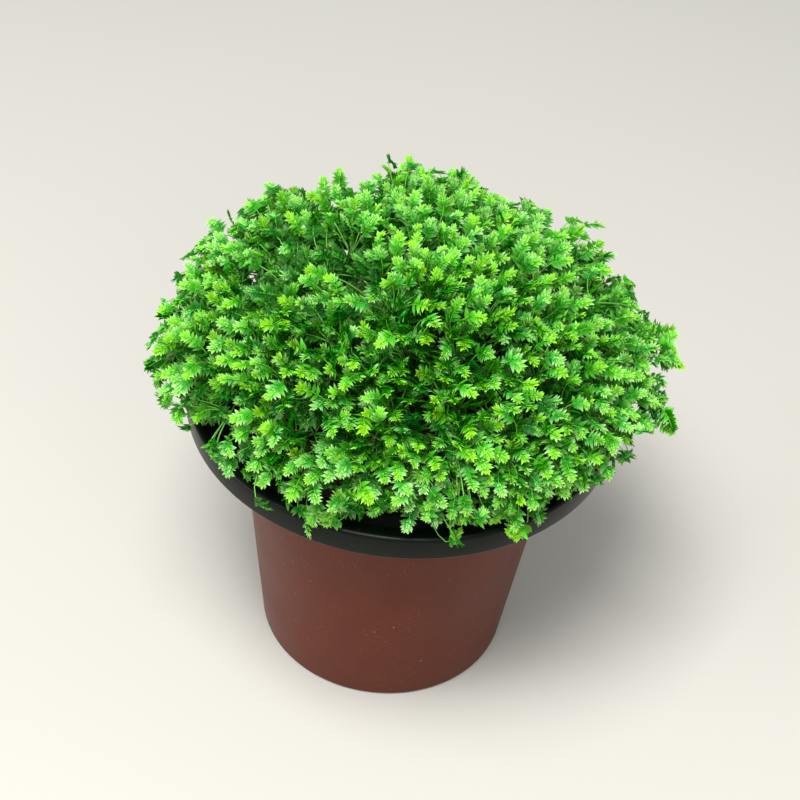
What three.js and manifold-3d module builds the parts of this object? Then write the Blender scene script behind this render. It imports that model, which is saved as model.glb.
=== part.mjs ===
// A cushion-shaped foliage plant in a round two-colour plastic nursery pot.
// Millimetres, +Z up. The origin is the centre of the pot's flat underside.

import * as THREE from 'three';
import { mergeVertices } from 'three/addons/utils/BufferGeometryUtils.js';
import Module from 'manifold-3d';

const wasm = await Module();
wasm.setup();

// Driving dimensions

const GAP = 0.3; // clearance between neighbouring pieces

const POT = {
  height: 67.8, // underside to the top of the brim
  brimRadius: 45, // the pot's nominal 90 mm size
  skirt: 5.4, // how far the brim's edge turns down
  mouthRadius: 34, // outside of the wall where it meets the brim
  baseRadius: 27.6,
  wall: 1.4,
  floor: 1.8,
  bevel: 0.7, // at the foot and along the brim's edges
  lip: 2.6, // flat width along the top of the brim
  dip: 3, // how far the brim slopes down from its lip to the wall
  sides: 72,
  color: 0x6b3d31,
};

const DRAIN = {
  count: 5,
  radius: 3,
  circle: 17, // radius of the circle that the holes stand on
  sides: 20,
};

const SOIL = {
  top: 59, // height at the pot's wall
  crown: 2, // extra height in the middle
  rings: 4,
  sides: 60,
  color: 0x2a1f18,
};

const PLANT = {
  shoots: 28,
  radius: 54.5, // widest half-width of the cushion
  frontRadius: 50.5, // the front is a little flatter
  equator: 77, // height of the widest part
  apex: 100, // height of the top
  underside: 11, // how far the cushion curves in below its widest part
  lowestAngle: 106, // degrees from the top to the lowest shoots
  fanHeight: 62, // the shoots fan out from this point on the axis
  color: 0x4fae2c,
};

const CROWN = {
  anchorDepth: 5.5, // from the cushion's surface in to the middle of a leafy crown
  innerReach: 8, // from there back to the stem
  spread: 16, // most that a crown reaches sideways
  ragged: 0.16, // share of its reach that a leaf tip may fall short
  detail: 2, // how finely the ball that it grows from is divided
};

const STEM = {
  radius: 0.9,
  sides: 6,
  steps: 8,
  rootSpread: 0.5, // radius of a root's place over that of its crown
  straightEnd: 0.5, // share of its length that runs along the crown's axis
  leastRise: 0.6, // share of its height that it climbs before it bends over
  color: 0x86b95a,
};

const GOLDEN_ANGLE = Math.PI * (3 - Math.sqrt(5));
const MERGE_TOLERANCE = 1e-4;
const DOME_SAMPLES = 400;

// Small helpers

const finish = (color, roughness) =>
  new THREE.MeshStandardMaterial({ color, roughness, metalness: 0 });

const materials = {
  pot: finish(POT.color, 0.45),
  soil: finish(SOIL.color, 0.95),
  stem: finish(STEM.color, 0.6),
  leaf: finish(PLANT.color, 0.5),
};

function namedMesh(name, geometry, material) {
  const mesh = new THREE.Mesh(geometry, material.clone());
  mesh.name = name;
  return mesh;
}

function positionsOnly(geometry) {
  const bare = geometry.clone();
  bare.deleteAttribute('normal');
  bare.deleteAttribute('uv');
  return mergeVertices(bare, MERGE_TOLERANCE);
}

function toManifold(geometry) {
  const merged = positionsOnly(geometry);
  return new wasm.Manifold(
    new wasm.Mesh({
      numProp: 3,
      vertProperties: new Float32Array(merged.getAttribute('position').array),
      triVerts: new Uint32Array(merged.index.array),
    }),
  );
}

function fromManifold(solid) {
  const { numProp, numVert, vertProperties, triVerts } = solid.getMesh();
  const positions = new Float32Array(numVert * 3);
  for (let i = 0; i < numVert; i++) {
    positions.set(vertProperties.subarray(i * numProp, i * numProp + 3), i * 3);
  }
  const geometry = new THREE.BufferGeometry();
  geometry.setAttribute('position', new THREE.BufferAttribute(positions, 3));
  geometry.setIndex(new THREE.BufferAttribute(triVerts, 1));
  return geometry;
}

// A profile of [radius, height] points turned round the pot's axis.
function turned(profile, sides) {
  const points = profile.map(([radius, height]) => new THREE.Vector2(radius, height));
  return new THREE.LatheGeometry(points, sides).rotateX(Math.PI / 2);
}

// The pot: a tapered cup with a wide brim that slopes up to a lip, and then turns down in a skirt

const skirtFoot = POT.height - POT.skirt;
const throatHeight = POT.height - POT.dip; // where the inside of the wall meets the brim

const wallRadiusAt = (height) =>
  THREE.MathUtils.mapLinear(height, 0, skirtFoot, POT.baseRadius, POT.mouthRadius);

function potGeometry() {
  const { height, brimRadius, wall, floor, bevel, lip } = POT;
  const outerThroat = wallRadiusAt(throatHeight);
  const profile = [
    [0, 0],
    [POT.baseRadius - bevel, 0],
    [wallRadiusAt(bevel), bevel],
    [outerThroat, throatHeight - wall - bevel],
    [outerThroat + bevel, throatHeight - wall],
    [brimRadius - lip, height - wall],
    [brimRadius - wall, height - wall],
    [brimRadius - wall, skirtFoot],
    [brimRadius, skirtFoot],
    [brimRadius, height - bevel],
    [brimRadius - bevel, height],
    [brimRadius - lip, height],
    [outerThroat, throatHeight],
    [outerThroat - wall, throatHeight - wall],
    [wallRadiusAt(floor) - wall, floor],
    [0, floor],
  ];
  let solid = toManifold(turned(profile, POT.sides));
  for (let i = 0; i < DRAIN.count; i++) {
    const angle = (i / DRAIN.count) * 2 * Math.PI;
    const drill = new THREE.CylinderGeometry(DRAIN.radius, DRAIN.radius, 4 * floor, DRAIN.sides)
      .rotateX(Math.PI / 2)
      .translate(DRAIN.circle * Math.cos(angle), DRAIN.circle * Math.sin(angle), 0);
    solid = solid.subtract(toManifold(drill));
  }
  return fromManifold(solid);
}

// The soil: one body that fills the pot to just under its brim, a little higher in the middle

const soilFloor = POT.floor + GAP;
const soilRadiusAt = (height) => wallRadiusAt(height) - POT.wall - GAP;
const soilTopAt = (radius) => SOIL.top + SOIL.crown * (1 - (radius / soilRadiusAt(SOIL.top)) ** 2);

function soilGeometry() {
  const edge = soilRadiusAt(SOIL.top);
  const surface = [];
  for (let i = SOIL.rings; i >= 0; i--) {
    const radius = (i / SOIL.rings) * edge;
    surface.push([radius, soilTopAt(radius)]);
  }
  const profile = [[0, soilFloor], [soilRadiusAt(soilFloor), soilFloor], ...surface];
  return turned(profile, SOIL.sides);
}

// The cushion: a flattened dome whose surface the leafy crowns share out between them

const domeRadiusAt = (azimuth) => {
  const towardsFront = Math.max(0, -Math.sin(azimuth)) ** 2;
  return THREE.MathUtils.lerp(PLANT.radius, PLANT.frontRadius, towardsFront);
};

const domeRiseAt = (polar) =>
  (polar < Math.PI / 2 ? PLANT.apex - PLANT.equator : PLANT.underside) * Math.cos(polar);

function domePoint(polar, azimuth) {
  const radius = domeRadiusAt(azimuth) * Math.sin(polar);
  return new THREE.Vector3(
    radius * Math.cos(azimuth),
    radius * Math.sin(azimuth),
    PLANT.equator + domeRiseAt(polar),
  );
}

// Polar angles that divide the dome into bands of equal area, one for each shoot.
function equalAreaPolars(count) {
  const step = THREE.MathUtils.degToRad(PLANT.lowestAngle) / DOME_SAMPLES;
  const areas = [0];
  for (let i = 1; i <= DOME_SAMPLES; i++) {
    const from = domePoint((i - 1) * step, 0);
    const to = domePoint(i * step, 0);
    areas.push(areas[i - 1] + (from.x + to.x) * from.distanceTo(to));
  }
  return Array.from({ length: count }, (_, k) => {
    const wanted = ((k + 0.5) / count) * areas[DOME_SAMPLES];
    return areas.findIndex((area) => area >= wanted) * step;
  });
}

const fanPoint = new THREE.Vector3(0, 0, PLANT.fanHeight);
const domeCentre = new THREE.Vector3(0, 0, PLANT.equator);

const shoots = equalAreaPolars(PLANT.shoots).map((polar, k) => {
  const site = domePoint(polar, k * GOLDEN_ANGLE);
  const axis = site.clone().sub(fanPoint).normalize();
  const anchor = site.clone().addScaledVector(axis, -CROWN.anchorDepth);
  return { site, axis, anchor };
});

// How far a ray from inside the dome runs before it leaves it.
function reachToDome(from, direction) {
  const radius = domeRadiusAt(Math.atan2(from.y + direction.y, from.x + direction.x));
  const reachWith = (rise) => {
    const scale = new THREE.Vector3(1 / radius, 1 / radius, 1 / rise);
    const start = from.clone().sub(domeCentre).multiply(scale);
    const step = direction.clone().multiply(scale);
    const a = step.lengthSq();
    const b = start.dot(step);
    return (-b + Math.sqrt(b * b - a * (start.lengthSq() - 1))) / a;
  };
  const reach = reachWith(PLANT.apex - PLANT.equator);
  const landsAbove = from.z + reach * direction.z >= PLANT.equator;
  return landsAbove ? reach : reachWith(PLANT.underside);
}

// How far a crown may grow in a direction: to the dome's surface, halfway to each
// neighbour, down to the brim, or as far as its own leaves reach.
function freeReach(shoot, direction) {
  const along = direction.dot(shoot.axis);
  const across = Math.sqrt(Math.max(0, 1 - along * along));
  const reaches = [reachToDome(shoot.anchor, direction)];
  reaches.push(1 / Math.hypot(Math.min(0, along) / CROWN.innerReach, across / CROWN.spread));
  if (direction.z < 0) {
    reaches.push((shoot.anchor.z - POT.height - GAP) / -direction.z);
  }
  for (const other of shoots) {
    const offset = other.anchor.clone().sub(shoot.anchor);
    const distance = offset.length();
    const towards = direction.dot(offset) / distance;
    if (towards > 0) {
      reaches.push((distance / 2 - GAP) / towards);
    }
  }
  return Math.min(...reaches);
}

// A leafy crown: every vertex of a small ball is pushed out as far as it is free to go,
// and some stop short, as the tips of its leaves do.
function crownGeometry(shoot, index) {
  const geometry = positionsOnly(new THREE.IcosahedronGeometry(1, CROWN.detail));
  const positions = geometry.getAttribute('position');
  const direction = new THREE.Vector3();
  THREE.MathUtils.seededRandom(index + 1);
  for (let i = 0; i < positions.count; i++) {
    direction.fromBufferAttribute(positions, i).normalize();
    const short = CROWN.ragged * THREE.MathUtils.seededRandom();
    direction.multiplyScalar(freeReach(shoot, direction) * (1 - short)).add(shoot.anchor);
    positions.setXYZ(i, direction.x, direction.y, direction.z);
  }
  return geometry;
}

// A stem: from its root in the soil, bending over to meet its crown along the crown's axis.
function stemGeometry(shoot) {
  const end = shoot.anchor.clone().addScaledVector(shoot.axis, -CROWN.innerReach - GAP);
  const root = shoot.site.clone().multiplyScalar(STEM.rootSpread);
  root.z = soilTopAt(Math.hypot(root.x, root.y)) + 2 * GAP;
  const straight = root.distanceTo(end) * STEM.straightEnd;
  const bend = end.clone().addScaledVector(shoot.axis, -straight);
  bend.z = Math.max(bend.z, THREE.MathUtils.lerp(root.z, end.z, STEM.leastRise));
  const corners = Array.from({ length: STEM.sides }, (_, i) => {
    const angle = (i / STEM.sides) * 2 * Math.PI;
    return new THREE.Vector2(STEM.radius * Math.cos(angle), STEM.radius * Math.sin(angle));
  });
  return new THREE.ExtrudeGeometry(new THREE.Shape(corners), {
    steps: STEM.steps,
    extrudePath: new THREE.QuadraticBezierCurve3(root, bend, end),
  });
}

// The whole plant in its pot

const plantInPot = new THREE.Group();
plantInPot.add(namedMesh('pot', potGeometry(), materials.pot));
plantInPot.add(namedMesh('soil', soilGeometry(), materials.soil));
shoots.forEach((shoot, index) => {
  const number = String(index + 1).padStart(2, '0');
  plantInPot.add(namedMesh(`stem_${number}`, stemGeometry(shoot), materials.stem));
  plantInPot.add(namedMesh(`leaves_${number}`, crownGeometry(shoot, index), materials.leaf));
});

export default plantInPot;
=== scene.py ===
import math

import bpy
import numpy as np
from mathutils import Matrix, Vector


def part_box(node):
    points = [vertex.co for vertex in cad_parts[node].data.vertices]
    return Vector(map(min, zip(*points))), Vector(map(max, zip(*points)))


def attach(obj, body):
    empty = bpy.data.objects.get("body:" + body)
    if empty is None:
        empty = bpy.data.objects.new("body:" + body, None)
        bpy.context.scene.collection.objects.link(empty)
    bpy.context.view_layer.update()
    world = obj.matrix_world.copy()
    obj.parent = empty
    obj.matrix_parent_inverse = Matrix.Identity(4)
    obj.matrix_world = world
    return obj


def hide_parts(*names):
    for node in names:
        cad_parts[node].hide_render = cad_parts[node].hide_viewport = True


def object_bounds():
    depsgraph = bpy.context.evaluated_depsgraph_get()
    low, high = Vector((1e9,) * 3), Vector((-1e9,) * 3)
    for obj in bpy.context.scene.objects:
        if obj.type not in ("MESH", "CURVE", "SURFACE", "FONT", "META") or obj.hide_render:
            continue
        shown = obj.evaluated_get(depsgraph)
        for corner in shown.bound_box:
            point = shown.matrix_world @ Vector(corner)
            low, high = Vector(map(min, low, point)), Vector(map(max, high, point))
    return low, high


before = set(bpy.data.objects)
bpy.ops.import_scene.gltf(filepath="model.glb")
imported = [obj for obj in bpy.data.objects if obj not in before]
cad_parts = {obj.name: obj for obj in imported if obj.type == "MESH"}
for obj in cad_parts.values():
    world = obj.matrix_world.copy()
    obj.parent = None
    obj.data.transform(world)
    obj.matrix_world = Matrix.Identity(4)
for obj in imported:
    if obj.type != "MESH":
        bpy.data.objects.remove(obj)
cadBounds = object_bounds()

mm = 0.001
rng = np.random.default_rng(11)
leafNodes = sorted(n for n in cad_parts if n.startswith("leaves_"))
stemNodes = sorted(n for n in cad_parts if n.startswith("stem_"))
potLow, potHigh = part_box("pot")
soilLow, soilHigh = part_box("soil")
print("frame loaded:", len(leafNodes), "shoots")


# small helpers

def unit(v):
    v = np.asarray(v, float)
    return v / np.maximum(np.linalg.norm(v, axis=-1, keepdims=True), 1e-12)


def smoothStep(x):
    x = np.clip(x, 0, 1)
    return x * x * (3 - 2 * x)


def nodePoints(name):
    points = np.empty(len(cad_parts[name].data.vertices) * 3)
    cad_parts[name].data.vertices.foreach_get("co", points)
    return points.reshape(-1, 3)


def linear(red, green, blue):
    return tuple(
        (c / 255 / 12.92) if c <= 10 else ((c / 255 + 0.055) / 1.055) ** 2.4 for c in (red, green, blue)
    ) + (1.0,)


def makeMesh(name, points, faces, materials, slots=None, uv=None):
    # faces are rows of corner numbers, where -1 fills up a triangle's row
    counts = (faces >= 0).sum(1)
    starts = np.concatenate([[0], np.cumsum(counts)[:-1]])
    corners = faces[faces >= 0]
    mesh = bpy.data.meshes.new(name)
    mesh.vertices.add(len(points))
    mesh.vertices.foreach_set("co", np.asarray(points, np.float32).ravel())
    mesh.loops.add(len(corners))
    mesh.loops.foreach_set("vertex_index", corners.astype(np.int32))
    mesh.polygons.add(len(faces))
    mesh.polygons.foreach_set("loop_start", starts.astype(np.int32))
    mesh.polygons.foreach_set("use_smooth", np.ones(len(faces), bool))
    for material in materials:
        mesh.materials.append(material)
    if slots is not None:
        mesh.polygons.foreach_set("material_index", np.asarray(slots, np.int32))
    if uv is not None:
        layer = mesh.uv_layers.new(name="OFBake", do_init=False)
        layer.uv.foreach_set("vector", np.asarray(uv, np.float32).ravel())
    mesh.update(calc_edges=True)
    mesh.validate()
    piece = bpy.data.objects.new(name, mesh)
    bpy.context.scene.collection.objects.link(piece)
    return piece


def settle(piece, slot, *nodes):
    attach(piece, "root")
    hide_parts(*nodes)


# node helpers

def feed(tree, node, inputs):
    # an input goes by its name, or by i and its number, and takes a link or a value
    for key, value in inputs.items():
        socket = node.inputs[int(key[1:])] if key[0] == "i" and key[1:].isdigit() else node.inputs[key]
        if isinstance(value, bpy.types.NodeSocket):
            tree.links.new(value, socket)
        else:
            socket.default_value = value
    return node


def addNode(tree, kind, settings=None, **inputs):
    node = tree.nodes.new(kind)
    for key, value in (settings or {}).items():
        setattr(node, key, value)
    return feed(tree, node, inputs)


def maths(tree, operation, a, b=0.0, clamp=False):
    settings = {"operation": operation, "use_clamp": clamp}
    return addNode(tree, "ShaderNodeMath", settings, i0=a, i1=b).outputs[0]


def mixColour(tree, share, a, b, blend="MIX"):
    settings = {"data_type": "RGBA", "blend_type": blend}
    return addNode(tree, "ShaderNodeMix", settings, i0=share, i6=a, i7=b).outputs[2]


def mapRange(tree, value, low, high, toLow=0.0, toHigh=1.0):
    ends = {"i1": low, "i2": high, "i3": toLow, "i4": toHigh}
    return addNode(tree, "ShaderNodeMapRange", {"clamp": True}, i0=value, **ends).outputs[0]


def colourRamp(tree, value, stops):
    node = addNode(tree, "ShaderNodeValToRGB", None, Fac=value)
    while len(node.color_ramp.elements) < len(stops):
        node.color_ramp.elements.new(1.0)
    for element, (place, colour) in zip(node.color_ramp.elements, stops):
        element.position = place
        element.color = linear(*colour)
    return node.outputs[0]


def newMaterial(name):
    material = bpy.data.materials.new(name)
    material.use_nodes = True
    tree = material.node_tree
    return material, tree, tree.nodes["Principled BSDF"]


def newGroup(name, inputs, outputs):
    group = bpy.data.node_groups.new(name, "ShaderNodeTree")
    for label, kind, value in inputs:
        socket = group.interface.new_socket(label, in_out="INPUT", socket_type="NodeSocket" + kind)
        if value is not None:
            socket.default_value = value
    for label, kind in outputs:
        group.interface.new_socket(label, in_out="OUTPUT", socket_type="NodeSocket" + kind)
    return group, group.nodes.new("NodeGroupInput"), group.nodes.new("NodeGroupOutput")


def useGroup(tree, group, **inputs):
    node = tree.nodes.new("ShaderNodeGroup")
    node.node_tree = group
    return feed(tree, node, inputs)


# the leaf: how its palette is laid out, its colours and its shape

leafPalette = {
    "ages": 8,  # columns, from the youngest leaf to the oldest
    "hues": 8,  # rows, from yellowish to bluish
    "margin": 0.06,  # kept free round each cell
    "young": (128, 232, 14),
    "fresh": (98, 214, 12),
    "grown": (58, 180, 10),
    "old": (31, 138, 4),
    # deep is the oldest leaves' green, and also painted shade in the depths of the cushion and on the leaves'
    # undersides
    "deep": (14, 94, 2),
    # the pale colour is partly the leaves' own whitish margins and tips and partly painted sheen
    "paleAndSheen": (206, 243, 162),
    "ageStops": ((0.0, "young"), (0.13, "fresh"), (0.36, "grown"), (0.6, "old"), (0.85, "deep")),
    "hueShift": (0.489, 0.518),  # 0.5 leaves a colour as it is
    "saturation": (1.12, 0.96),
    "brightness": (0.80, 1.22),
    # how much of the pale colour the rib, edge and point take; it is partly painted sheen, most of all on the
    # point
    "paleRib": 0.15,
    "paleEdge": 0.22,
    "palePointAndSheen": 0.74,
    "paleByHue": (0.2, 1.4),
    "paleByAge": ((0.0, 0.35), (0.16, 1.0), (0.45, 0.52), (1.0, 0.0)),
    "roughness": (0.34, 0.50),
    "specular": 0.10,
    "subsurface": 0.5,
}


def paletteCellGroup():
    columns = leafPalette["ages"] + 1  # the last column is the underside, which takes the darkest green as painted shade
    group, start, end = newGroup(
        "paletteCell",
        [("Place", "Vector", None)],
        [("Age", "Float"), ("Hue", "Float"), ("Across", "Float"), ("Along", "Float")],
    )
    place = addNode(group, "ShaderNodeSeparateXYZ", None, Vector=start.outputs["Place"])
    margin = leafPalette["margin"]
    cells = (("X", columns, "Age", "Across"), ("Y", leafPalette["hues"], "Hue", "Along"))
    for axis, count, cell, inside in cells:
        scaled = maths(group, "MULTIPLY", place.outputs[axis], count)
        whole = maths(group, "FLOOR", scaled)
        rest = maths(group, "SUBTRACT", scaled, whole)
        group.links.new(maths(group, "DIVIDE", whole, count - 1), end.inputs[cell])
        group.links.new(mapRange(group, rest, margin, 1 - margin), end.inputs[inside])
    return group


def leafMaterial():
    material, tree, shader = newMaterial("leaf")
    place = addNode(tree, "ShaderNodeUVMap", {"uv_map": "OFBake"})
    cell = useGroup(tree, paletteCellGroup(), Place=place.outputs["UV"])
    age, hue, across, along = (cell.outputs[k] for k in ("Age", "Hue", "Across", "Along"))
    base = colourRamp(tree, age, [(p, leafPalette[k]) for p, k in leafPalette["ageStops"]])
    zigzag = maths(tree, "PINGPONG", maths(tree, "MULTIPLY", hue, 3.3), 1.0)
    tinted = addNode(
        tree, "ShaderNodeHueSaturation", None,
        Hue=mapRange(tree, hue, 0, 1, *leafPalette["hueShift"]),
        Saturation=mapRange(tree, hue, 0, 1, *leafPalette["saturation"]),
        Value=mapRange(tree, zigzag, 0, 1, *leafPalette["brightness"]),
        Color=base,
    ).outputs[0]
    # paler rib, edge and point, partly the leaves' own whitish margins and tips and partly painted sheen, and
    # a darker foot
    middle = maths(tree, "ABSOLUTE", maths(tree, "SUBTRACT", across, 0.5))
    rib = mapRange(tree, middle, 0.09, 0.02)
    edge = mapRange(tree, middle, 0.34, 0.5)
    point = mapRange(tree, along, 0.35, 1.0)
    grain = addNode(tree, "ShaderNodeTexNoise", None, Vector=place.outputs["UV"], Scale=160.0, Detail=3.0)
    uneven = maths(tree, "ADD", along, maths(tree, "MULTIPLY", grain.outputs[0], 0.25))
    toned = mixColour(tree, 1.0, tinted, mapRange(tree, uneven, 0.0, 1.1, 0.72, 1.15), "MULTIPLY")
    youth = addNode(tree, "ShaderNodeFloatCurve", None, Value=age)
    curve = youth.mapping.curves[0]
    first, *between, last = leafPalette["paleByAge"]
    curve.points[0].location, curve.points[1].location = first, last
    for spot in between:
        curve.points.new(*spot)
    youth.mapping.update()
    palenessAndSheen = maths(
        tree, "ADD", maths(tree, "MULTIPLY", rib, leafPalette["paleRib"]),
        maths(tree, "MULTIPLY", edge, leafPalette["paleEdge"]),
    )
    palenessAndSheen = maths(tree, "ADD", palenessAndSheen, maths(tree, "MULTIPLY", point, leafPalette["palePointAndSheen"]))
    palenessAndSheen = maths(tree, "MULTIPLY", palenessAndSheen, mapRange(tree, hue, 0.0, 1.0, *leafPalette["paleByHue"]))
    palenessAndSheen = maths(tree, "MULTIPLY", palenessAndSheen, youth.outputs[0], True)
    edged = mixColour(tree, palenessAndSheen, toned, linear(*leafPalette["paleAndSheen"]))
    tree.links.new(edged, shader.inputs["Base Color"])
    rough = mapRange(tree, grain.outputs[0], 0.3, 0.7, *leafPalette["roughness"])
    tree.links.new(rough, shader.inputs["Roughness"])
    shader.inputs["Subsurface Weight"].default_value = leafPalette["subsurface"]
    shader.inputs["Subsurface Radius"].default_value = (0.6, 1.0, 0.15)
    shader.inputs["Subsurface Scale"].default_value = 0.0007
    shader.inputs["Specular IOR Level"].default_value = leafPalette["specular"]
    height = maths(tree, "ADD", maths(tree, "MULTIPLY", rib, -0.6), grain.outputs[0])
    bump = addNode(tree, "ShaderNodeBump", None, Strength=0.35, Distance=0.00006, Height=height)
    tree.links.new(bump.outputs[0], shader.inputs["Normal"])
    return material


leafShape = {
    "stations": (0.0, 0.15, 0.36, 0.60, 0.82),  # along the leaf, before its point
    "widths": (0.40, 0.86, 1.0, 0.74, 0.36),
    "fold": 0.42,  # how far its edges stand up from the rib
    "thickness": 0.08 * mm,
}


def leafTemplate():
    # rows of across, along and kind: -1 and 1 edge, 0 rib, 2 underside, 3 point
    rows = []
    for place, width in zip(leafShape["stations"], leafShape["widths"]):
        rows += [(-width, place, -1), (0, place, 0), (width, place, 1), (0, place, 2)]
    rows.append((0, 1.0, 3))
    faces = []
    last = len(leafShape["stations"]) - 1
    for i in range(last):
        a, b = 4 * i, 4 * i + 4
        faces += [(a, a + 1, b + 1, b), (a + 1, a + 2, b + 2, b + 1)]
        faces += [(a, b, b + 3, a + 3), (a + 3, b + 3, b + 2, a + 2)]
    a, point = 4 * last, 4 * last + 4
    faces += [(a, a + 1, point, -1), (a + 1, a + 2, point, -1)]
    faces += [(a, point, a + 3, -1), (a + 3, point, a + 2, -1)]
    faces.append((0, 3, 2, 1))
    return np.array(rows, float), np.array(faces)


def leavesMesh(name, leaves, material):
    rows, faces = leafTemplate()
    kinds = rows[:, 2]
    count, per = len(leaves["origin"]), len(rows)
    widths = np.interp(rows[:, 1], (*leafShape["stations"], 1.0), (*leafShape["widths"], 0.0))
    across, along = rows[:, 0], rows[:, 1]
    half, length = leaves["half"][:, None], leaves["length"][:, None]
    lift = np.abs(across) * half * leafShape["fold"]
    lift = lift + leaves["curl"][:, None] * along**2 * length
    lift = lift - np.where(kinds == 2, leafShape["thickness"] * (0.4 + widths), 0)
    side = np.cross(leaves["axis"], leaves["up"])
    points = (
        leaves["origin"][:, None, :]
        + (across * half)[..., None] * side[:, None, :]
        + (along * length)[..., None] * leaves["axis"][:, None, :]
        + lift[..., None] * leaves["up"][:, None, :]
    ).reshape(-1, 3)
    shift = (np.arange(count) * per)[:, None, None]
    allFaces = np.where(faces[None] >= 0, faces[None] + shift, -1).reshape(-1, 4)
    # each leaf's corners lie in the palette cell of its age and hue, and its underside's corners in the last
    # column, the darkest green, which is painted shade
    under = np.array([any(kinds[c] == 2 for c in f if c >= 0) for f in faces])
    held = faces >= 0
    corner = faces[held]
    cornerUnder = np.repeat(under[:, None], 4, 1)[held]
    inner = 1 - 2 * leafPalette["margin"]
    local = np.where(widths[corner] > 0, across[corner] / np.maximum(widths[corner], 1e-6), 0)
    u = leafPalette["margin"] + inner * (local + 1) / 2
    v = leafPalette["margin"] + inner * along[corner]
    ages, hues = leafPalette["ages"], leafPalette["hues"]
    age = np.clip(np.floor(leaves["age"] * ages), 0, ages - 1)[:, None]
    hue = np.clip(np.floor(leaves["hue"] * hues), 0, hues - 1)[:, None]
    column = np.where(cornerUnder[None], ages, age)
    uv = np.stack([(column + u[None]) / (ages + 1), (hue + v[None]) / hues], -1).reshape(-1, 2)
    piece = makeMesh(name, points, allFaces, [material], uv=uv)
    # the outline of each leaf is a sharp edge
    mesh = piece.data
    ends = np.empty(len(mesh.edges) * 2, np.int32)
    mesh.edges.foreach_get("vertices", ends)
    rim = (np.abs(kinds) == 1) | (kinds == 3)
    ends = rim[ends.reshape(-1, 2) % per]
    sharp = mesh.attributes.new("sharp_edge", "BOOLEAN", "EDGE")
    sharp.data.foreach_set("value", ends.all(1))
    return piece


# the cushion: a flattened dome, whose lumpy surface the twigs grow out to

cushion = {
    "equator": 77 * mm,
    "underside": 11 * mm,
    "frontShare": 0.925,  # the front is a little flatter
    "lump": 1.1 * mm,
    "lean": 0.8 * mm,  # to the right
    "light": (0.0, -0.50, 0.70),  # leaves face this way a little
    "paintedLightSide": (0.0, -0.6, 0.8),  # painted light: tips facing this side get younger, brighter leaves
    "paintedShadeAge": 0.36,  # painted shade: leaves are painted older and darker by this a quarter turn away from it
    "lumpSize": 15 * mm,
    "uneven": 1.3 * mm,  # how far tips stand out or in
    "bulges": (  # azimuth, angle from the top, spread (degrees) and how far it stands out (mm)
        (103, 60, 26, 2.4),
        (52, 62, 24, -3.8),
        (22, 74, 18, -3.2),
        (0, 94, 18, 2.6),
        (-26, 112, 16, -1.0),
        (-72, 112, 16, 2.6),
        (-89, 112, 9, -2.2),
        (-108, 112, 14, 2.2),
        (180, 92, 18, -0.6),
    ),
    "fanHeight": 62 * mm,
}
widest = (cadBounds[1][0] - cadBounds[0][0]) / 2 - 2.0 * mm
apex = cadBounds[1][2] - 0.8 * mm
lumpWaves = rng.normal(size=(10, 3)) / cushion["lumpSize"]
lumpPhases = rng.uniform(0, 2 * math.pi, 10)


def domePoint(polar, azimuth, depth=0.0):
    front = np.clip(-np.sin(azimuth), 0, 1) ** 2
    radius = (widest * (1 - front * (1 - cushion["frontShare"])) - depth) * np.sin(polar)
    upper = apex - cushion["equator"] - depth
    lower = cushion["underside"] - 0.4 * depth
    rise = np.where(polar < math.pi / 2, upper, lower) * np.cos(polar)
    x = cushion["lean"] + radius * np.cos(azimuth)
    return np.stack([x, radius * np.sin(azimuth), cushion["equator"] + rise], -1)


def towards(polar, azimuth):
    return np.stack([np.sin(polar) * np.cos(azimuth), np.sin(polar) * np.sin(azimuth), np.cos(polar)], -1)


def lumps(points, polar, azimuth):
    out = cushion["lump"] * np.sin(points @ lumpWaves.T + lumpPhases).sum(-1) / math.sqrt(5)
    for angle, fromTop, spread, height in cushion["bulges"]:
        middle = towards(math.radians(fromTop), math.radians(angle))
        away = np.degrees(np.arccos(np.clip(towards(polar, azimuth) @ middle, -1, 1)))
        out = out + height * mm * np.exp(-((away / spread) ** 2))
    return out


def inHole(points, share):
    waves = np.sin(points @ (lumpWaves.T * 2.6) + lumpPhases[::-1]).sum(-1)
    return waves < np.quantile(waves, share)


def scatterOnDome(spacing, depth, lowest, tries=14000):
    polar = np.linspace(0, math.radians(lowest), 300)
    line = domePoint(polar, np.zeros(300), depth)
    bands = (line[1:, 0] + line[:-1, 0]) * np.linalg.norm(np.diff(line, axis=0), axis=1)
    area = np.concatenate([[0], np.cumsum(bands)])
    polars = np.interp(rng.uniform(0, area[-1], tries), area, polar)
    azimuths = rng.uniform(-math.pi, math.pi, tries)
    sites = domePoint(polars, azimuths, depth)
    kept = []
    for i in range(tries):
        if not kept or np.min(np.linalg.norm(sites[kept] - sites[i], axis=1)) > spacing:
            kept.append(i)
    return polars[kept], azimuths[kept], sites[kept]


# branchlets and their leaves

leafRow = {
    "pairs": (  # distance back from the tip (mm), leaf length (mm), angle (degrees) and added age
        (0.10, 1.45, 14, 0.02),
        (0.32, 1.60, 33, 0.07),
        (0.60, 1.72, 50, 0.11),
        (0.96, 1.80, 64, 0.17),
        (1.50, 1.90, 72, 0.30),
        (2.30, 2.10, 73, 0.46),
        (3.40, 2.35, 70, 0.56),
        (4.60, 2.45, 68, 0.58),
        (5.90, 2.45, 68, 0.66),
        (7.20, 2.45, 68, 0.72),
    ),
    "half": 0.225,  # half width against length
    "upper": 2.6,  # the small upper leaves end this far back (mm)
    "upperLength": 0.95,
    "upperHalf": 0.28,
    "upperLift": 0.1,
}


def bezier(p0, p1, p2, s):
    s = np.asarray(s, float)[..., None]
    return (1 - s) ** 2 * p0 + 2 * s * (1 - s) * p1 + s**2 * p2


def bezierSlope(p0, p1, p2, s):
    s = np.asarray(s, float)[..., None]
    return unit(2 * (1 - s) * (p1 - p0) + 2 * s * (p2 - p1))


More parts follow.
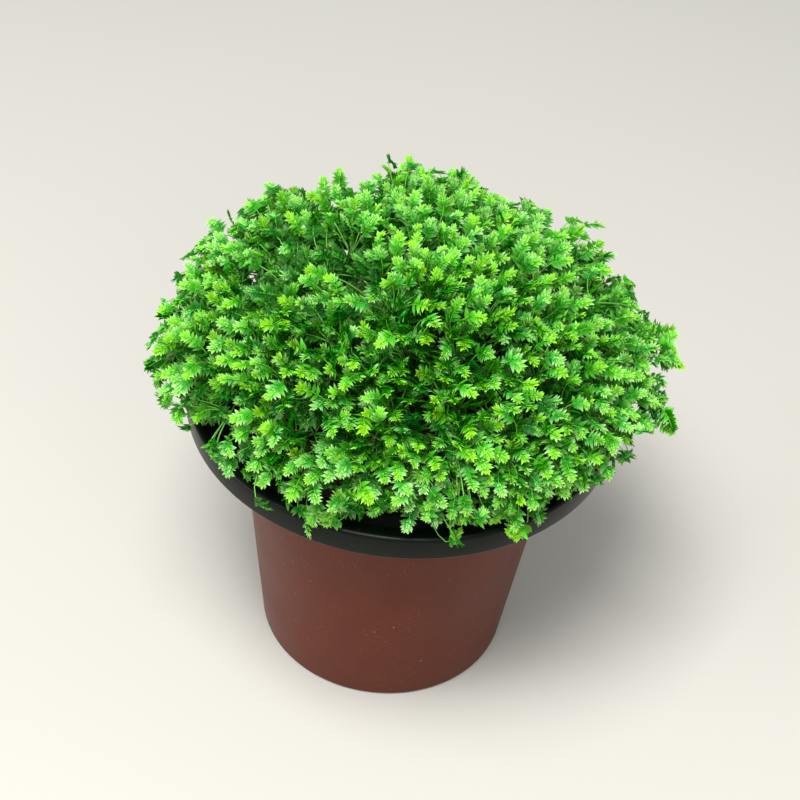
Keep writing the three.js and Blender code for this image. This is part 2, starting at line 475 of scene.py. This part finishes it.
def squareTo(line, v):
    return v - (v * line).sum(-1, keepdims=True) * line


def rolled(a, b, angle):
    return np.cos(angle)[:, None] * a + np.sin(angle)[:, None] * b


def leafAxis(angle, lift, forward, side, up):
    angle, lift = angle[:, None], lift[:, None]
    return unit(np.cos(angle) * forward + np.sin(angle) * side + np.sin(lift) * up)


def leavesAlong(twigs):
    # twigs: arrays with curve (n, 3, 3), top, length, leafy, age, hue, size, owner
    rows = []
    curve = twigs["curve"]
    for back, longest, angle, older in leafRow["pairs"]:
        on = np.flatnonzero(back * mm * twigs["size"] < twigs["leafy"])
        if not len(on):
            continue
        n = len(on)
        p0, p1, p2 = curve[on, 0], curve[on, 1], curve[on, 2]
        s = 1 - back * mm * twigs["size"][on] / twigs["length"][on]
        spot, forward = bezier(p0, p1, p2, s), bezierSlope(p0, p1, p2, s)
        up = unit(squareTo(forward, twigs["top"][on]))
        side = np.cross(forward, up)
        grown = float(smoothStep(back / leafRow["upper"]))
        age = twigs["age"][on] + older
        for sign in (-1, 1):
            a = np.radians(angle + rng.normal(0, 7, n))
            lift = np.radians(15 * (1 - grown) + rng.normal(0, 11, n))
            axis = leafAxis(a, lift, forward, sign * side, up)
            leafUp = unit(squareTo(axis, up))
            roll = sign * np.radians(rng.normal(8, 12, n))
            leafUp = rolled(leafUp, np.cross(axis, leafUp), roll)
            reach = longest * mm * twigs["size"][on] * rng.uniform(0.82, 1.14, n)
            rows.append(dict(
                origin=spot, axis=axis, up=leafUp, length=reach,
                half=reach * leafRow["half"] * rng.uniform(0.9, 1.1, n),
                curl=rng.normal(0.06 - 0.14 * grown, 0.07, n), age=age + rng.uniform(-0.05, 0.07, n),
                hue=twigs["hue"][on] + rng.normal(0, 0.13, n), owner=twigs["owner"][on],
            ))
            if back > leafRow["upper"]:
                continue
            b = np.radians(18 + 10 * grown + rng.normal(0, 8, n))
            lift = np.radians(24 + rng.normal(0, 8, n))
            axis = leafAxis(b, lift, forward, sign * side, up)
            small = leafRow["upperLength"] * mm * twigs["size"][on] * rng.uniform(0.85, 1.15, n)
            rows.append(dict(
                origin=spot + leafRow["upperLift"] * mm * up, axis=axis, up=unit(squareTo(axis, up)),
                length=small, half=small * leafRow["upperHalf"],
                curl=rng.normal(0.02, 0.06, n), age=age * 0.6 + rng.uniform(-0.10, 0.01, n),
                hue=twigs["hue"][on] + rng.normal(0, 0.13, n), owner=twigs["owner"][on],
            ))
    return {k: np.concatenate([r[k] for r in rows]) for k in rows[0]}


# the deeper layers are older: partly their real age, partly painted shade that darkens the gaps between the
# tips
layers = {  # lengths in mm
    "outer": dict(
        spacing=2.65, depth=0.0, holes=0.20, lowest=114, hubSpacing=8.0, hubDepth=9, leafy=5.0,
        age=0.0, size=0.87, normal=0.6, outward=0.70, wild=0.50,
    ),
    "second": dict(
        spacing=3.0, depth=3.2, holes=0.09, lowest=110, hubSpacing=9.0, hubDepth=12, leafy=5.6,
        age=0.32, size=0.88, normal=0.6, outward=0.65, wild=0.55,
    ),
    "third": dict(
        spacing=4.0, depth=6.5, holes=0.0, lowest=104, hubSpacing=11.0, hubDepth=16, leafy=6.5,
        age=0.60, size=1.1, normal=0.6, outward=0.60, wild=0.60,
    ),
    "inner": dict(
        spacing=5.0, depth=11.0, holes=0.0, lowest=98, hubSpacing=13.0, hubDepth=20, leafy=8.0,
        age=0.66, size=1.6, normal=0.6, outward=0.60, wild=0.60,
    ),
    "heart": dict(
        spacing=6.0, depth=17.0, holes=0.0, lowest=92, hubSpacing=14.0, hubDepth=24, leafy=8.0,
        age=0.80, size=2.1, normal=0.6, outward=0.60, wild=0.60,
    ),
}
sprigs = (  # the ones that stand out: azimuth, angle from the top (degrees) and how far (mm)
    (57, 70, 3.2), (47, 74, 4.6), (40, 76, 3.4), (28, 82, 2.0), (12, 88, 2.0), (3, 90, 3.2),
    (-12, 97, 3.8), (-62, 114, 4.0), (-76, 114, 2.4), (-109, 114, 2.8), (-138, 112, 2.0),
    (176, 94, 1.2), (152, 86, 0.8), (131, 76, 0.8), (113, 70, 1.4), (97, 66, 1.6), (80, 64, 1.6),
)
sprigTips = 4  # on each sprig
sprigSpread = 2.0  # mm between them
slopeStep = 0.02  # radians, between the points that give the dome's slope


def withSprigs(tips, normals, outward, shade):
    azimuths, polars, reach = np.repeat(np.array(sprigs), sprigTips, axis=0).T
    azimuths, polars = np.radians(azimuths), np.radians(polars)
    reach = reach * mm * rng.uniform(0.5, 1.0, len(azimuths))
    sites = domePoint(polars, azimuths)
    ahead = domePoint(polars + slopeStep, azimuths) - sites
    out = unit(np.cross(ahead, domePoint(polars, azimuths + slopeStep) - sites))
    sites = sites + out * (reach + lumps(sites, polars, azimuths))[:, None]
    sites = sites + rng.normal(0, sprigSpread * mm / 1.7, sites.shape)
    # the sprig tips take no painted shade, only a little painted light
    pairs = ((tips, sites), (normals, out), (outward, unit(ahead)), (shade, np.full(len(sites), -0.05)))
    return [np.concatenate(pair) for pair in pairs]


def growTwigs(layer, tips, normals, outward, shade, hubs):
    # each twig comes from the nearest hub below it, and bends over outwards at its tip
    n = len(tips)
    wander = rng.normal(0, layer["wild"], (n, 3))
    forward = unit(layer["normal"] * normals + layer["outward"] * outward + wander)
    top = normals + np.array(cushion["light"]) + rng.normal(0, 0.42, (n, 3))
    top = unit(squareTo(forward, unit(top)))
    below = tips - normals * layer["hubDepth"] * 0.6 * mm - forward * 3 * mm
    hub = np.argmin(np.linalg.norm(hubs[None] - below[:, None], axis=2), axis=1)
    reach = np.linalg.norm(tips - hubs[hub], axis=1)
    bend = tips - forward * (reach * rng.uniform(0.42, 0.58, n))[:, None]
    curve = np.stack([hubs[hub], bend, tips], 1)
    samples = np.stack([bezier(*curve.transpose(1, 0, 2), np.full(n, s)) for s in np.linspace(0, 1, 9)])
    length = np.linalg.norm(np.diff(samples, axis=0), axis=2).sum(0)
    # shade is painted light and shade, added to the age that picks the leaves' green
    return dict(
        curve=curve, top=top, length=length, leafy=np.minimum(length * 0.92, layer["leafy"] * mm),
        age=layer["age"] + shade + rng.uniform(-0.06, 0.2, n), hue=rng.normal(0.45, 0.22, n),
        size=layer["size"] * rng.uniform(0.84, 1.14, n), hub=hub,
    )


def tubeMesh(tubes, rings=7, sides=5):
    # each tube: its curve, its first and last radius, and where they are in the stem's palette
    allPoints, allFaces, allUv, offset = [], [], [], 0
    turn = np.arange(sides) / sides * 2 * math.pi
    for curve, first, last, vFirst, vLast in tubes:
        s = np.linspace(0, 1, rings)
        middle, along = bezier(*curve, s), bezierSlope(*curve, s)
        guide = np.array([0.3, 0.5, 0.8])
        if abs(along[0] @ unit(guide)) >= 0.9:
            guide = np.array([1.0, 0, 0])
        right = unit(np.cross(along, guide))
        up = np.cross(right, along)
        radius = (first + (last - first) * s)[:, None, None]
        outwards = np.cos(turn)[None, :, None] * right[:, None] + np.sin(turn)[None, :, None] * up[:, None]
        points = (middle[:, None] + radius * outwards).reshape(-1, 3)
        grid = np.arange(rings * sides).reshape(rings, sides)
        nextSide = np.roll(grid, -1, 1)
        quads = np.stack([grid[:-1], nextSide[:-1], nextSide[1:], grid[1:]], -1).reshape(-1, 4)[:, ::-1]
        v = vFirst + (vLast - vFirst) * s
        around = np.arange(sides) / sides
        face = np.arange(len(quads))
        ringOf, sideOf = face // sides, face % sides
        u0, u1 = around[sideOf], around[sideOf] + 1 / sides
        v0, v1 = v[ringOf], v[ringOf + 1]
        uv = np.stack([np.stack(pair, -1) for pair in ((u0, v1), (u1, v1), (u1, v0), (u0, v0))], 1)
        allPoints.append(points)
        allFaces.append(np.pad(quads + offset, ((0, 0), (0, max(0, sides - 4))), constant_values=-1))
        caps = np.stack([grid[0], grid[-1][::-1]])
        allFaces.append(np.pad(caps + offset, ((0, 0), (0, max(0, 4 - sides))), constant_values=-1))
        capUv = np.stack([
            np.stack([around, np.full(sides, v[0])], -1),
            np.stack([around[::-1], np.full(sides, v[-1])], -1),
        ])
        allUv += [uv.reshape(-1, 2), capUv.reshape(-1, 2)]
        offset += len(points)
    return np.concatenate(allPoints), np.concatenate(allFaces), np.concatenate(allUv)


stemLook = {
    "colours": ((0.0, (84, 72, 40)), (0.3, (82, 104, 40)), (0.6, (78, 140, 44)), (1.0, (104, 184, 56))),
    "shoot": (0.75, 0.45, 0.0, 0.35),  # first and last radius (mm), and first and last place in the colours
    "branch": (0.26, 0.14, 0.35, 0.6),
    "twig": (0.14, 0.08, 0.6, 1.0),
}


def tubeOf(kind, curve):
    first, last, colourFirst, colourLast = stemLook[kind]
    return curve, first * mm, last * mm, colourFirst, colourLast


def stemMaterial():
    material, tree, shader = newMaterial("stem")
    place = addNode(tree, "ShaderNodeUVMap", {"uv_map": "OFBake"})
    parts = addNode(tree, "ShaderNodeSeparateXYZ", None, Vector=place.outputs["UV"])
    streak = addNode(tree, "ShaderNodeMapping", None, Vector=place.outputs["UV"])
    streak.inputs["Scale"].default_value = (9.0, 60.0, 1.0)
    grain = addNode(tree, "ShaderNodeTexNoise", None, Vector=streak.outputs[0], Scale=1.0, Detail=4.0)
    base = colourRamp(tree, parts.outputs["Y"], stemLook["colours"])
    shade = mapRange(tree, grain.outputs[0], 0.3, 0.7, 0.78, 1.15)
    tree.links.new(mixColour(tree, 1.0, base, shade, "MULTIPLY"), shader.inputs["Base Color"])
    tree.links.new(mapRange(tree, grain.outputs[0], 0.3, 0.7, 0.38, 0.55), shader.inputs["Roughness"])
    bump = addNode(tree, "ShaderNodeBump", None, Strength=0.4, Distance=0.00004, Height=grain.outputs[0])
    tree.links.new(bump.outputs[0], shader.inputs["Normal"])
    return material


def growPlant():
    count = len(leafNodes)
    centres = np.array([np.mean([list(c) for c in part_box(name)], axis=0) for name in leafNodes])
    roots, ends = [], []
    for name, centre in zip(stemNodes, centres):
        points = nodePoints(name)
        roots.append(points[points[:, 2] < points[:, 2].min() + 1.2 * mm].mean(0))
        ends.append(points[np.argsort(np.linalg.norm(points - centre, axis=1))[:6]].mean(0))
    roots, ends = np.array(roots), np.array(ends)
    fan = unit(ends - np.array([0, 0, cushion["fanHeight"]]))
    bends = ends - fan * (np.linalg.norm(ends - roots, axis=1) * 0.5)[:, None]
    bends[:, 2] = np.maximum(bends[:, 2], roots[:, 2] + 0.6 * (ends[:, 2] - roots[:, 2]))
    tubes = [[tubeOf("shoot", (roots[i], bends[i], ends[i]))] for i in range(count)]
    grown = []
    for label, layer in layers.items():
        depth = layer["depth"] * mm
        polars, azimuths, sites = scatterOnDome(layer["spacing"] * mm, depth, layer["lowest"])
        kept = ~inHole(sites, layer["holes"])
        polars, azimuths, sites = polars[kept], azimuths[kept], sites[kept]
        ahead = domePoint(polars + slopeStep, azimuths, depth)
        around = domePoint(polars, azimuths + slopeStep, depth)
        outward = unit(ahead - sites)
        normals = unit(np.cross(ahead - sites, around - sites))
        stand = lumps(sites, polars, azimuths) + rng.normal(0, cushion["uneven"], len(sites))
        tips = sites + normals * stand[:, None]
        overPot = np.hypot(tips[:, 0], tips[:, 1]) < potHigh.x + 1 * mm
        tips[:, 2] = np.where(overPot, np.maximum(tips[:, 2], potHigh.z + 2.2 * mm), tips[:, 2])
        # painted light and shade: the leaves' age, and so their green, follows how the tip faces the light
        shade = cushion["paintedShadeAge"] * (0.8 - normals @ np.array(cushion["paintedLightSide"]))
        if label == "outer":
            tips, normals, outward, shade = withSprigs(tips, normals, outward, shade)
        hubs = scatterOnDome(layer["hubSpacing"] * mm, layer["hubDepth"] * mm, 96)[2]
        hubs[:, 2] = np.maximum(hubs[:, 2], potHigh.z + 0.5 * mm)
        away = np.linalg.norm(centres[None] - hubs[:, None], axis=2)
        owner = np.argmin(away, axis=1)
        twigs = growTwigs(layer, tips, normals, outward, shade, hubs)
        if label == "outer":  # every shoot carries at least one hub that has twigs
            used = np.unique(twigs["hub"])
            for i in sorted(set(range(count)) - set(owner[used])):
                owner[used[np.argmin(away[used, i])]] = i
        twigs["owner"] = owner[twigs["hub"]]
        for curve, i in zip(twigs["curve"], twigs["owner"]):
            tubes[i].append(tubeOf("twig", curve))
        for base, i in zip(hubs, owner):
            share = rng.uniform(0.70, 1.0)
            at = bezier(roots[i], bends[i], ends[i], share)
            along = bezierSlope(roots[i], bends[i], ends[i], share)
            toBase = base - at
            bend = at + unit(along + 0.7 * unit(toBase)) * np.linalg.norm(toBase) * 0.5
            tubes[i].append(tubeOf("branch", (at, bend, base)))
        grown.append(leavesAlong(twigs))
        print("grew", label, "hubs:", len(hubs), "tips:", len(tips))
    leaves = {k: np.concatenate([g[k] for g in grown]) for k in grown[0]}
    leaf, stem = leafMaterial(), stemMaterial()
    for i in range(count):
        number = leafNodes[i][-2:]
        mine = leaves["owner"] == i
        crown = leavesMesh("crown_" + number, {k: v[mine] for k, v in leaves.items()}, leaf)
        settle(crown, "leaf", leafNodes[i])
        points, faces, uv = tubeMesh(tubes[i])
        branches = makeMesh("branches_" + number, points, faces, [stem], uv=uv)
        settle(branches, "stem", stemNodes[i])
    fewest = np.bincount(leaves["owner"], minlength=count).min()
    print("leaves:", len(leaves["owner"]), "fewest on a shoot:", fewest)


# the pot

potShape = {
    "wall": 1.4 * mm,
    "floor": 1.8 * mm,
    "skirt": 5.4 * mm,
    "lip": 2.6 * mm,
    "dip": 3.0 * mm,
    "mouth": 34.0 * mm,
    "foot": 27.6 * mm,
    "segments": 192,
    "drains": 5,
    "drainRadius": 3.0 * mm,
    "drainCircle": 17.0 * mm,
    "drainSides": 32,
    "groove": (4.4 * mm, 3.4 * mm, 0.4 * mm),  # in the underside: where it starts, where it ends, its depth
}


def filleted(corners, steps=5):
    line, flags = [], []
    for i, (r, z, size, flag) in enumerate(corners):
        here = np.array([r, z])
        if size == 0 or i in (0, len(corners) - 1):
            line.append(here)
            flags.append(flag)
            continue
        before, after = np.array(corners[i - 1][:2]), np.array(corners[i + 1][:2])
        a = here + unit(before - here) * min(size, np.linalg.norm(before - here) * 0.49)
        b = here + unit(after - here) * min(size, np.linalg.norm(after - here) * 0.49)
        for s in np.linspace(0, 1, steps):
            line.append((1 - s) ** 2 * a + 2 * s * (1 - s) * here + s * s * b)
            flags.append(flag)
    return np.array(line), flags


def turned(name, line, flags, segments, materials):
    # a profile that starts and ends on the axis, turned into a closed solid
    turn = np.arange(segments) / segments * 2 * math.pi
    ring = np.stack([np.cos(turn), np.sin(turn)], -1)
    body = line[1:-1]
    skin = np.concatenate([body[:, None, :1] * ring[None], np.repeat(body[:, None, 1:], segments, 1)], -1)
    poles = [[0, 0, line[0, 1]], [0, 0, line[-1, 1]]]
    points = np.concatenate([skin.reshape(-1, 3), poles])
    grid = np.arange(len(body) * segments).reshape(len(body), segments)
    nextOne = np.roll(grid, -1, 1)
    quads = np.stack([grid[:-1], nextOne[:-1], nextOne[1:], grid[1:]], -1).reshape(-1, 4)
    slots = np.repeat(np.array(flags[2:-1]), segments)
    bottom, top = len(points) - 2, len(points) - 1
    empty = np.full(segments, -1)
    lower = np.stack([nextOne[0], grid[0], np.full(segments, bottom), empty], -1)
    upper = np.stack([grid[-1], nextOne[-1], np.full(segments, top), empty], -1)
    faces = np.concatenate([quads, lower, upper])
    slots = np.concatenate([slots, np.full(segments, flags[1]), np.full(segments, flags[-1])])
    return makeMesh(name, points, faces, materials, slots)


def scratchesGroup():
    group, start, end = newGroup(
        "fineScratches", [("Place", "Vector", None), ("Scale", "Float", 900.0)], [("Mask", "Float")]
    )
    warp = addNode(group, "ShaderNodeTexNoise", None, Vector=start.outputs["Place"], Scale=90.0, Detail=2.0)
    bent = addNode(
        group, "ShaderNodeVectorMath", {"operation": "MULTIPLY_ADD"},
        i0=warp.outputs[1], i1=(0.006, 0.006, 0.006), i2=start.outputs["Place"],
    )
    stretched = addNode(group, "ShaderNodeMapping", None, Vector=bent.outputs[0])
    stretched.inputs["Rotation"].default_value = (0.5, 0.9, 0.3)
    stretched.inputs["Scale"].default_value = (1.0, 0.06, 1.0)
    scale = start.outputs["Scale"]
    lines = addNode(group, "ShaderNodeTexNoise", None, Vector=stretched.outputs[0], Scale=scale, Detail=1.0)
    thin = mapRange(group, lines.outputs[0], 0.70, 0.76)
    where = addNode(group, "ShaderNodeTexNoise", None, Vector=start.outputs["Place"], Scale=70.0, Detail=1.0)
    patch = mapRange(group, where.outputs[0], 0.48, 0.62)
    group.links.new(maths(group, "MULTIPLY", thin, patch), end.inputs["Mask"])
    return group


def dustGroup():
    group, start, end = newGroup(
        "dust", [("Place", "Vector", None), ("Amount", "Float", 0.5)], [("Mask", "Float")]
    )
    place = start.outputs["Place"]
    specks = addNode(group, "ShaderNodeTexNoise", None, Vector=place, Scale=2600.0, Detail=2.0)
    cloud = addNode(group, "ShaderNodeTexNoise", None, Vector=place, Scale=110.0, Detail=3.0)
    fine = mapRange(group, specks.outputs[0], 0.56, 0.70)
    haze = mapRange(group, cloud.outputs[0], 0.40, 0.70)
    both = maths(group, "ADD", maths(group, "MULTIPLY", fine, haze), maths(group, "MULTIPLY", haze, 0.1))
    group.links.new(maths(group, "MULTIPLY", both, start.outputs["Amount"], True), end.inputs["Mask"])
    return group


scratches, dust = scratchesGroup(), dustGroup()

potLook = {  # the outside and the brim
    "potBrown": dict(
        colour=(88, 32, 12), worn=(160, 116, 96), dusty=(146, 112, 92),
        dust=0.20, roughness=0.40, specular=0.13,
    ),
    "potBlack": dict(
        colour=(4, 10, 4), worn=(58, 66, 58), dusty=(64, 70, 60),
        dust=0.07, roughness=0.32, specular=0.15,
    ),
}


def plasticMaterial(name):
    look = potLook[name]
    roughness = look["roughness"]
    material, tree, shader = newMaterial(name)
    place = addNode(tree, "ShaderNodeTexCoord").outputs["Object"]
    mottle = addNode(tree, "ShaderNodeTexNoise", None, Vector=place, Scale=55.0, Detail=5.0)
    marks = useGroup(tree, scratches, Place=place, Scale=1500.0).outputs["Mask"]
    film = useGroup(tree, dust, Place=place, Amount=look["dust"]).outputs["Mask"]
    shade = mapRange(tree, mottle.outputs[0], 0.3, 0.7, 0.9, 1.1)
    base = mixColour(tree, 1.0, linear(*look["colour"]), shade, "MULTIPLY")
    scuffed = mixColour(tree, maths(tree, "MULTIPLY", marks, 0.35), base, linear(*look["worn"]))
    tree.links.new(mixColour(tree, film, scuffed, linear(*look["dusty"])), shader.inputs["Base Color"])
    rough = mapRange(tree, mottle.outputs[0], 0.25, 0.75, roughness - 0.06, roughness + 0.08)
    rough = maths(tree, "ADD", rough, maths(tree, "MULTIPLY", film, 0.4), True)
    tree.links.new(rough, shader.inputs["Roughness"])
    shader.inputs["Specular IOR Level"].default_value = look["specular"]
    skin = addNode(tree, "ShaderNodeTexNoise", None, Vector=place, Scale=900.0, Detail=2.0)
    height = maths(tree, "SUBTRACT", skin.outputs[0], marks)
    bump = addNode(tree, "ShaderNodeBump", None, Strength=0.25, Distance=0.00008, Height=height)
    tree.links.new(bump.outputs[0], shader.inputs["Normal"])
    return material


def drillMesh(angle, materials):
    sides = potShape["drainSides"]
    turn = np.arange(sides) / sides * 2 * math.pi
    centre = np.array([math.cos(angle), math.sin(angle)]) * potShape["drainCircle"]
    low, high = -2 * mm, potShape["floor"] + 2 * mm
    circle = np.stack([np.cos(turn), np.sin(turn)], -1) * potShape["drainRadius"] + centre
    points = np.concatenate([np.c_[circle, np.full(sides, low)], np.c_[circle, np.full(sides, high)]])
    grid = np.arange(2 * sides).reshape(2, sides)
    nextOne = np.roll(grid, -1, 1)
    walls = np.stack([grid[0], nextOne[0], nextOne[1], grid[1]], -1)
    walls = np.pad(walls, ((0, 0), (0, sides - 4)), constant_values=-1)
    faces = np.concatenate([walls, [grid[0][::-1]], [grid[1]]])
    return makeMesh("drill", points, faces, materials, np.ones(sides + 2))


def makePot():
    shape = potShape
    rim, top = potHigh.x, potHigh.z
    skirtFoot = top - shape["skirt"]
    throat = top - shape["dip"]
    wall = shape["wall"]

    def outside(z):
        return shape["foot"] + (shape["mouth"] - shape["foot"]) * z / skirtFoot

    inner, outer, deep = shape["groove"]
    black, brown = 1, 0
    corners = [  # radius, height, rounding and colour, from the middle of the underside to the floor inside
        (0, 0, 0, brown),
        (outside(0) - inner, 0, 0, brown),
        (outside(0) - (inner + outer) / 2, deep, 0.2 * mm, brown),
        (outside(0) - outer, 0, 0, brown),
        (outside(0), 0, 1.0 * mm, brown),
        (outside(throat), throat - wall, 0.8 * mm, brown),
        (rim - shape["lip"], top - wall, 0.6 * mm, black),
        (rim - wall, top - wall, 0.5 * mm, black),
        (rim - wall, skirtFoot, 0.4 * mm, black),
        (rim, skirtFoot, 0.5 * mm, black),
        (rim, top, 1.0 * mm, black),
        (rim - shape["lip"], top, 1.2 * mm, black),
        (outside(throat) + 0.3 * mm, throat, 2.2 * mm, black),
        (outside(throat) - wall, throat - wall - 2 * mm, 1.5 * mm, black),
        (outside(0) - wall, shape["floor"], 1.5 * mm, black),
        (0, shape["floor"], 0, black),
    ]
    line, flags = filleted(corners)
    plastics = [plasticMaterial(name) for name in potLook]
    pot = turned("nurseryPot", line, flags, shape["segments"], plastics)
    for i in range(shape["drains"]):
        drill = drillMesh(i / shape["drains"] * 2 * math.pi, plastics)
        cut = pot.modifiers.new("drain", "BOOLEAN")
        cut.operation, cut.object, cut.solver = "DIFFERENCE", drill, "EXACT"
        bpy.context.view_layer.update()
        cutMesh = bpy.data.meshes.new_from_object(pot.evaluated_get(bpy.context.evaluated_depsgraph_get()))
        pot.modifiers.clear()
        pot.data = cutMesh
        bpy.data.objects.remove(drill)
    pot.data.set_sharp_from_angle(angle=math.radians(35))
    settle(pot, "pot", "pot")
    print("pot made:", len(pot.data.polygons), "faces")


# the soil

soilLook = {
    "colours": ((0.3, (22, 15, 11)), (0.5, (44, 31, 22)), (0.66, (74, 54, 38)), (0.8, (112, 88, 62))),
    "crown": 1.6 * mm,  # how much higher the middle is than the edge
    "bumps": 0.5 * mm,
    "bumpSize": 2.2 * mm,
    "crumbs": 1400,
    "crumbSize": 0.42,  # mm, the middle one
}


def soilMaterial():
    material, tree, shader = newMaterial("soil")
    place = addNode(tree, "ShaderNodeTexCoord").outputs["Object"]
    coarse = addNode(tree, "ShaderNodeTexNoise", None, Vector=place, Scale=420.0, Detail=6.0)
    fine = addNode(tree, "ShaderNodeTexVoronoi", None, Vector=place, Scale=900.0)
    base = colourRamp(tree, coarse.outputs[0], soilLook["colours"])
    tree.links.new(base, shader.inputs["Base Color"])
    tree.links.new(mapRange(tree, coarse.outputs[0], 0.3, 0.7, 0.8, 0.98), shader.inputs["Roughness"])
    height = maths(tree, "ADD", coarse.outputs[0], fine.outputs[0])
    bump = addNode(tree, "ShaderNodeBump", None, Strength=0.9, Distance=0.0006, Height=height)
    tree.links.new(bump.outputs[0], shader.inputs["Normal"])
    return material


def makeSoil():
    radius = soilHigh.x
    bottomRadius = potShape["foot"] - potShape["wall"] - 0.3 * mm
    edge = radius * np.linspace(1, 0, 22)[:-1]
    waves = rng.normal(size=(24, 2)) / soilLook["bumpSize"]
    phases = rng.uniform(0, 2 * math.pi, 24)
    base = soilHigh.z - 2.0 * mm

    def height(r):
        return base + soilLook["crown"] * (1 - (r / radius) ** 2)

    line = [[0, soilLow.z], [bottomRadius, soilLow.z]]
    line += [[r, height(r) - 0.6 * mm] for r in edge]
    line.append([0, height(0)])
    material = soilMaterial()
    body = turned("soilBody", np.array(line), [0] * len(line), 120, [material])
    points = np.empty(len(body.data.vertices) * 3)
    body.data.vertices.foreach_get("co", points)
    points = points.reshape(-1, 3)
    onTop = (points[:, 2] > base - 1 * mm) & (np.hypot(points[:, 0], points[:, 1]) < radius * 0.985)
    bumps = np.sin(points[:, :2] @ waves.T + phases).sum(1) / 5 * soilLook["bumps"]
    points[:, 2] += np.where(onTop, bumps, 0)
    body.data.vertices.foreach_set("co", points.ravel())
    body.data.update()
    settle(body, "soil", "soil")
    litter = soilCrumbs(radius, height, material)
    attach(litter, "root")
    print("soil made")


def soilCrumbs(radius, height, material):
    # crumbs and bits of bark, pressed into the surface
    corners = np.array([[1, 0, 0], [-1, 0, 0], [0, 1, 0], [0, -1, 0], [0, 0, 1], [0, 0, -1]], float)
    sides = np.array([[0, 2, 4], [2, 1, 4], [1, 3, 4], [3, 0, 4], [2, 0, 5], [1, 2, 5], [3, 1, 5], [0, 3, 5]])
    count = soilLook["crumbs"]
    spots = np.sqrt(rng.uniform(0, 1, count)) * radius * 0.96
    angles = rng.uniform(0, 2 * math.pi, count)
    places = np.stack([spots * np.cos(angles), spots * np.sin(angles), height(spots)], -1)
    sizes = rng.lognormal(math.log(soilLook["crumbSize"]), 0.45, count)[:, None, None] * mm
    rough, flat = rng.uniform(0.5, 1.4, (count, 6, 1)), rng.uniform(0.6, 1.3, (count, 1, 3))
    crumbs = corners[None] * sizes * rough * flat
    spin = rng.normal(size=(count, 3, 3))
    spin = np.linalg.qr(spin)[0]
    spin *= np.sign(np.linalg.det(spin))[:, None, None]
    crumbs = np.einsum("nij,nkj->nki", spin, crumbs) + places[:, None]
    faces = (sides[None] + (np.arange(count) * 6)[:, None, None]).reshape(-1, 3)
    litter = makeMesh("soilCrumbs", crumbs.reshape(-1, 3), faces, [material])
    litter.data.polygons.foreach_set("use_smooth", np.zeros(len(faces), bool))
    return litter


# camera, light and floor

view = {
    "elevation": 41.42,  # degrees
    "distance": 356.9 * mm,
    "roll": -5.76,
    "shift": (0.53 * mm, -0.43 * mm),
    "lens": 76.5,
}


def makeCamera():
    aim = Vector((0, 0, potHigh.z - potShape["skirt"]))
    e = math.radians(view["elevation"])
    back = Vector((0, -math.cos(e), math.sin(e)))
    right = Vector((1, 0, 0))
    up = back.cross(right)
    place = aim + back * view["distance"] - right * view["shift"][0] - up * view["shift"][1]
    turn = Matrix((right, up, back)).transposed() @ Matrix.Rotation(-math.radians(view["roll"]), 3, "Z")
    camera = bpy.data.objects.new("camera", bpy.data.cameras.new("camera"))
    camera.matrix_world = Matrix.Translation(place) @ turn.to_4x4()
    camera.data.lens = view["lens"]
    camera.data.sensor_width = 36
    camera.data.clip_start = 0.01
    bpy.context.scene.collection.objects.link(camera)
    bpy.context.scene.camera = camera
    print("camera placed")


studio = {
    "overhead": dict(place=(-0.15, -0.32, 0.92), size=0.40, power=13.2, colour=(1.0, 0.985, 0.955)),
    "front": dict(place=(0.2, -0.8, 0.85), size=0.7, power=3.7, colour=(0.97, 0.985, 1.0)),
    "left": dict(place=(-1.6, -0.5, 0.44), size=0.7, power=9.6, colour=(0.97, 0.985, 1.0)),
    "world": (0.96, 0.955, 0.93),
    "worldStrength": 0.43,
    "aimHeight": 0.07,
    "floor": (188, 187, 181),
    "floorSize": 12.0,  # from the middle to each edge
}


def makeStudio():
    for name in ("overhead", "front", "left"):
        lamp = studio[name]
        light = bpy.data.objects.new(name, bpy.data.lights.new(name, "AREA"))
        light.data.size = lamp["size"]
        light.data.energy = lamp["power"]
        light.data.color = lamp["colour"]
        light.location = lamp["place"]
        aim = Vector((0, 0, studio["aimHeight"])) - light.location
        light.rotation_euler = aim.to_track_quat("-Z", "Y").to_euler()
        bpy.context.scene.collection.objects.link(light)
    world = bpy.data.worlds.new("studio")
    world.use_nodes = True
    world.node_tree.nodes["Background"].inputs[0].default_value = (*studio["world"], 1)
    world.node_tree.nodes["Background"].inputs[1].default_value = studio["worldStrength"]
    bpy.context.scene.world = world
    size = studio["floorSize"]
    corners = np.array([[-size, -size, 0], [size, -size, 0], [size, size, 0], [-size, size, 0]])
    material, tree, shader = newMaterial("floor")
    place = addNode(tree, "ShaderNodeTexCoord").outputs["Object"]
    cloud = addNode(tree, "ShaderNodeTexNoise", None, Vector=place, Scale=3.0, Detail=2.0)
    shade = mapRange(tree, cloud.outputs[0], 0.3, 0.7, 0.98, 1.02)
    tone = mixColour(tree, 1.0, linear(*studio["floor"]), shade, "MULTIPLY")
    tree.links.new(tone, shader.inputs["Base Color"])
    shader.inputs["Roughness"].default_value = 0.6
    floor = makeMesh("floor", corners, np.array([[0, 1, 2, 3]]), [material])
    bpy.context.scene.view_settings.view_transform = "Standard"
    print("studio set")


makeCamera()
makeStudio()
makePot()
makeSoil()
growPlant()
